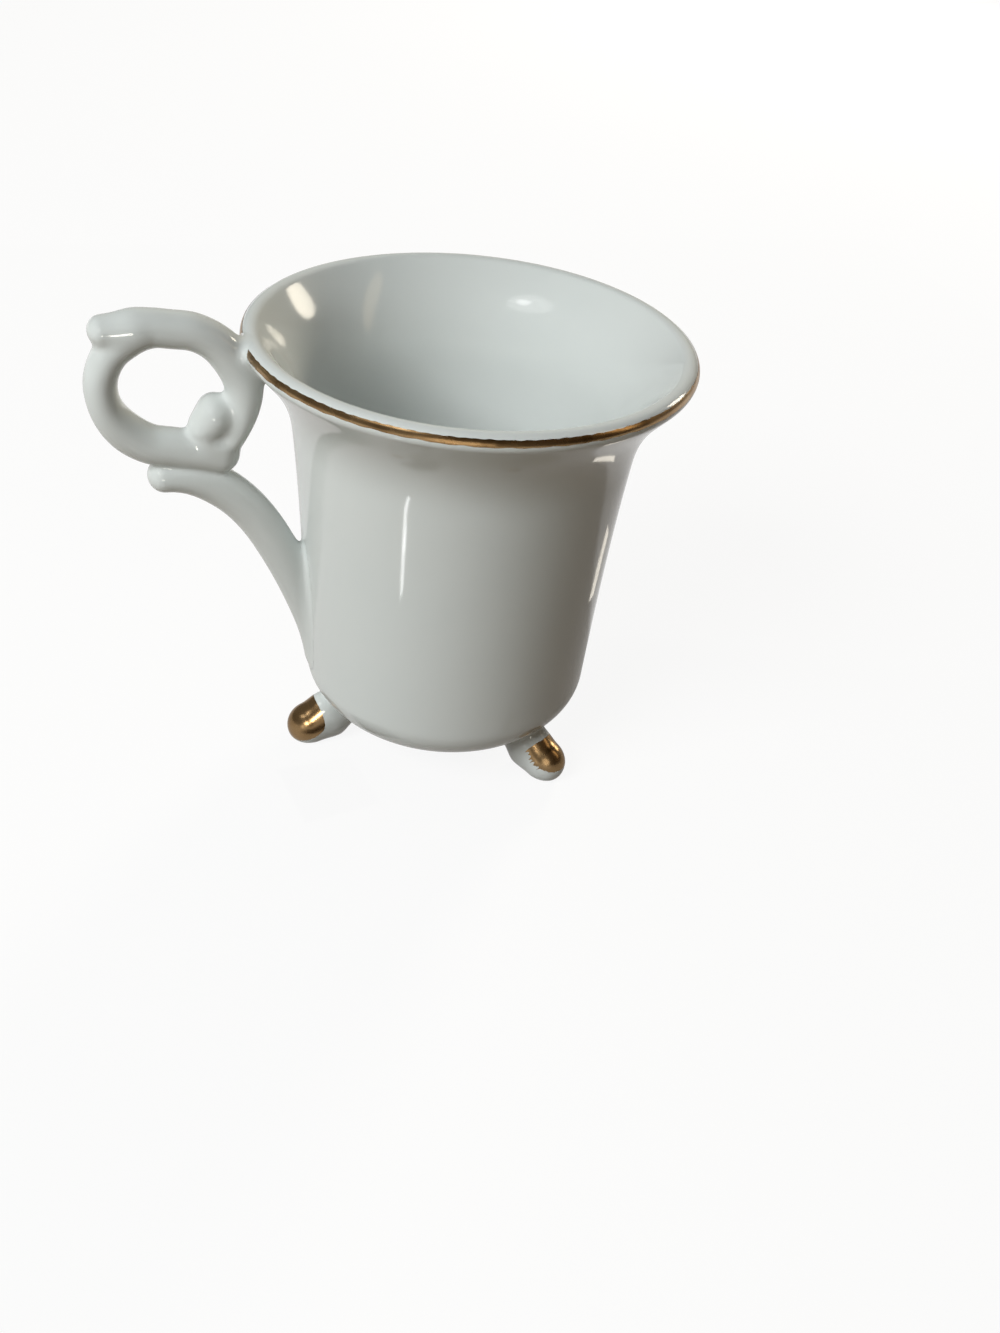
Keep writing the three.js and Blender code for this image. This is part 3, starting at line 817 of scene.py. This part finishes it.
def card(name, corners, colour, glow=0.0):
    """A card beside the set, dark or glowing, which the camera doesn't see and which casts no shadow."""
    mesh = bpy.data.meshes.new(name)
    mesh.from_pydata(corners, [], [tuple(range(len(corners)))])
    stuff, tone = dull(name, colour)
    stuff.link(tone, stuff.shader.inputs["Emission Color"])
    stuff.shader.inputs["Emission Strength"].default_value = glow
    mesh.materials.append(stuff.material)
    o = bpy.data.objects.new(name, mesh)
    o.visible_camera = False
    o.visible_diffuse = glow == 0
    o.visible_shadow = False
    bpy.context.scene.collection.objects.link(o)


middle = Vector((0.013, 0.0, 0.05))


def away_from(azimuth, height, distance):
    """A place seen from the mug's middle at an angle round it and an angle up."""
    a, b = math.radians(azimuth), math.radians(height)
    return middle + distance * Vector((math.cos(a) * math.cos(b), math.sin(a) * math.cos(b), math.sin(b)))


def facing(place, width, height):
    """Corners of a rectangle at a place, turned to the mug."""
    turn = (middle - place).to_track_quat("-Z", "Y")
    x, y = width / 2, height / 2
    return [place + turn @ Vector((*corner, 0)) for corner in ((-x, -y), (x, -y), (x, y), (-x, y))]


def in_metres(*corners):
    return [tuple(MM * x for x in corner) for corner in corners]


def table_shade(colour):
    """A dim table round the mug, darker on the right, which the camera doesn't see and which casts no shadow."""
    mesh = sheet("table_shade", 0.3)
    stuff, _ = dull("table_shade", colour)
    axes = stuff.add("ShaderNodeSeparateXYZ")
    stuff.link(stuff.where(), axes.inputs["Vector"])
    slant = stuff.calculate("MULTIPLY_ADD", axes.outputs["X"], 0.35, axes.outputs["Y"])
    to_right = stuff.span(axes.outputs["X"], -0.03, 0.05, 0.0, 0.4)
    in_front = stuff.span(slant, 0.038, 0.047, 1.0, 0.0)
    share = stuff.calculate("MULTIPLY_ADD", to_right, in_front, 0.2)
    clear = stuff.add("ShaderNodeBsdfTransparent")
    stuff.surface(share, clear.outputs["BSDF"], stuff.shader.outputs["BSDF"])
    mesh.materials.append(stuff.material)
    o = bpy.data.objects.new("table_shade", mesh)
    o.location.z = TABLE_HEIGHT
    o.visible_camera = False
    o.visible_shadow = False
    bpy.context.scene.collection.objects.link(o)


white, cream, warm = (1.0, 1.0, 1.0), (1.0, 0.95, 0.86), (1.0, 0.91, 0.75)
lamp("window_left", away_from(210, 38, 1.0), middle, (0.56, 0.45), 8.0, (0.97, 1.0, 1.0), mirrored=False)
lamp("window_left_glow", away_from(211, 45, 1.0), middle, (0.46, 0.22), 0.55, white, lights=False)
lamp("window_left_pane", away_from(216, 46, 1.0), middle, (0.14, 0.07), 0.16, white, lights=False)
lamp("window_back", away_from(48, 18, 1.2), middle, (0.3, 0.3), 9.0, warm, mirrored=False)
lamp("window_back_pane", away_from(19, 24, 1.2), middle, (0.28, 0.28), 2.4, warm, lights=False)
lamp("front_pane", away_from(249, 9, 0.42), middle, (0.12, 0.075), 0.5, cream, lights=False)
lamp("right_pane", away_from(332, 35, 0.4), middle, (0.06, 0.28), 0.09, (1.0, 0.78, 0.5), lights=False)
lamp("table_glint", (-0.064, -0.068, 0.002), (-0.005, -0.026, 0.064), (0.004, 0.010), 0.0012, white,
     lights=False)
lamp("table_glint_low", (-0.055, -0.061, 0.002), (-0.005, -0.026, 0.056), (0.003, 0.014), 0.0012, white,
     lights=False)
brown = (0.12, 0.095, 0.07)
card("brown_card_right", facing(away_from(300, 20, 0.45), 1.1, 0.9), brown)
card("brown_card_above", facing(away_from(330, 76, 0.5), 0.7, 0.7), brown)
table_shade(brown)
toe_shade = ((-25, -12), (-9, -11), (-6, -26), (-22, -29))
card("toe_shade", [(x * MM, y * MM, TOE_SHADE_HEIGHT) for x, y in toe_shade], brown)
card("toe_shade_right", in_metres(
    (21.8, -36.0, 6.8), (28.8, -39.0, 6.8), (28.8, -38.0, 13.0), (21.8, -35.0, 13.0)), brown)
card("rim_shade", in_metres((-32, -70, 83), (2, -83, 83), (2, -83, 101), (-32, -70, 101)), brown)
card("right_glint", in_metres((69.7, -4, 15), (69.7, 3.5, 15), (69.7, 3.5, 32), (69.7, -3, 36)), cream,
     glow=2.5)


# Camera, from the photograph's outlines: its focal length and the photograph's height in pixels, and its place
# round the cup's axis in degrees and millimetres

FOCAL_PIXELS, PHOTO_PIXELS, SENSOR = 1300, 1333, 36.0
CAMERA_ANGLE, CAMERA_REACH, CAMERA_HEIGHT = 252, 227.35, 183.2

camera_data = bpy.data.cameras.new("camera")
camera_data.sensor_width = SENSOR
camera_data.lens = FOCAL_PIXELS / PHOTO_PIXELS * SENSOR
camera_data.clip_start = 0.01
camera_data.clip_end = 20.0
camera = bpy.data.objects.new("camera", camera_data)
bpy.context.scene.collection.objects.link(camera)
forward = Vector((0.2887, 0.7496, -0.5956)).normalized()
right = Vector((0.9521, -0.2904, 0.0959))
right = (right - forward * right.dot(forward)).normalized()
up = right.cross(forward)
away = polar(CAMERA_ANGLE, CAMERA_REACH)
turn = Matrix((right, up, -forward)).transposed().to_4x4()
camera.matrix_world = Matrix.Translation(Vector((AXIS_X + away[0], away[1], CAMERA_HEIGHT)) * MM) @ turn
bpy.context.scene.camera = camera

bpy.context.scene.view_settings.view_transform = "Standard"
